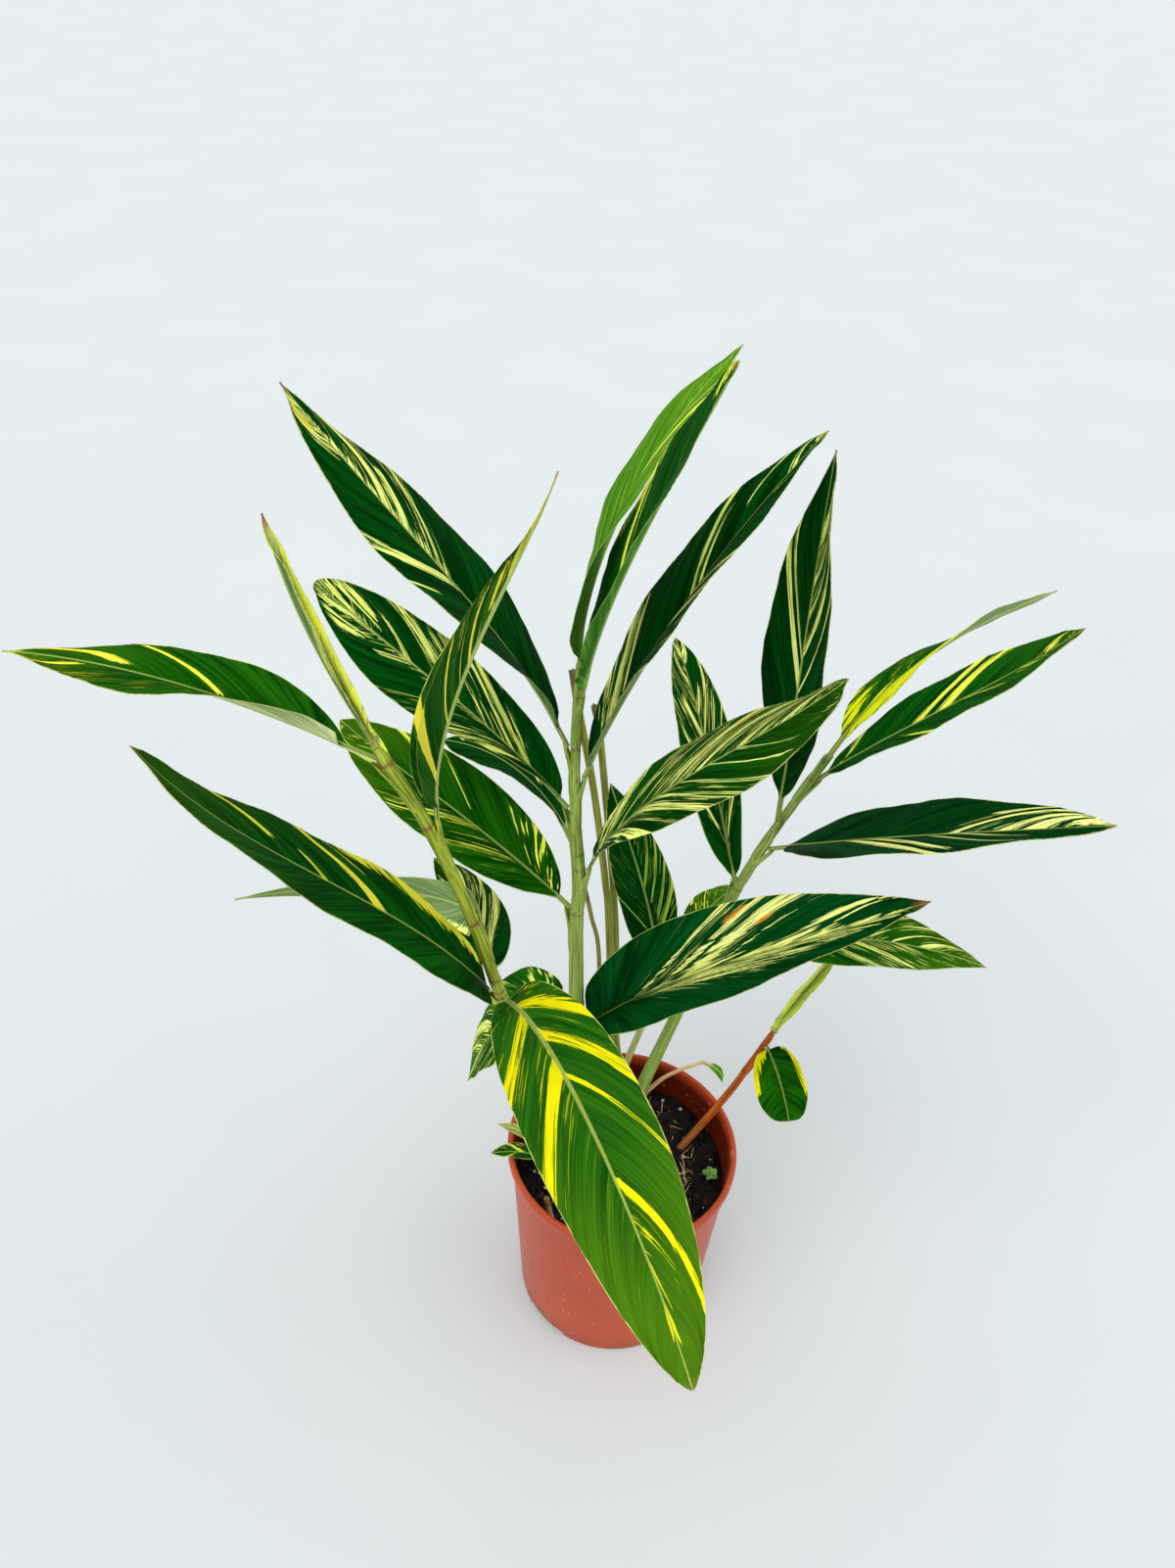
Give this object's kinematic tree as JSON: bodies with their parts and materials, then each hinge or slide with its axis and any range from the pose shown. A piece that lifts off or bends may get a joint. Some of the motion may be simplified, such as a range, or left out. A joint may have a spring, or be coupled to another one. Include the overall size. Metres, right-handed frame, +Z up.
{
  "type": "potted foliage plant",
  "caption": "Leafy canes of a variegated ginger, long pointed green leaves streaked with yellow and cream, in soil in a round terracotta-coloured nursery pot.",
  "frame": {"origin": "centre of the flat underside of the pot, on the surface it stands on", "axes": "+Z up the canes; -Y towards the viewer of the picture, where the large drooping leaf hangs over the rim; +X to that viewer's right"},
  "size_m": [0.5807, 0.4741, 0.7564],
  "materials": {
    "pot": "satin",
    "soil": "matte",
    "cane": "satin",
    "cane_young": "satin",
    "cane_pale": "satin",
    "leaf_dark": "satin",
    "leaf_bright": "satin",
    "leaf_pale": "satin",
    "seedling": "matte"
  },
  "bodies": {
    "root": {"cane_back_left": "cane", "cane_back_right": "cane", "cane_front": "cane", "cane_inner": "cane", "cane_main": "cane", "cane_pale": "cane_pale", "cane_right": "cane", "cane_rim": "cane_pale", "cane_stub": "cane_pale", "cane_thin": "cane", "cane_young": "cane_young", "leaf_crown_back": "leaf_bright", "leaf_crown_front": "leaf_dark", "leaf_front_drooping": "leaf_bright", "leaf_front_far": "leaf_bright", "leaf_front_folded": "leaf_pale", "leaf_front_furled": "leaf_pale", "leaf_front_long": "leaf_dark", "leaf_front_pale_back": "leaf_pale", "leaf_front_striped": "leaf_dark", "leaf_inner_broad": "leaf_dark", "leaf_inner_small": "leaf_bright", "leaf_main_left_behind": "leaf_dark", "leaf_main_left_foot": "leaf_bright", "leaf_main_left_high": "leaf_dark", "leaf_main_left_low": "leaf_dark", "leaf_main_left_top": "leaf_dark", "leaf_main_right_high": "leaf_dark", "leaf_main_right_low": "leaf_dark", "leaf_main_right_mid": "leaf_bright", "leaf_pale_tiny": "leaf_bright", "leaf_right_high": "leaf_dark", "leaf_right_inner": "leaf_dark", "leaf_right_level": "leaf_dark", "leaf_right_low": "leaf_dark", "leaf_right_twisted": "leaf_bright", "leaf_right_upright": "leaf_dark", "leaf_rim_bract": "leaf_pale", "leaf_rim_small": "leaf_bright", "leaf_young_drooping": "leaf_dark", "leaf_young_furled": "leaf_pale", "pot": "pot", "seedling": "seedling", "soil": "soil"}
  },
  "joints": []
}
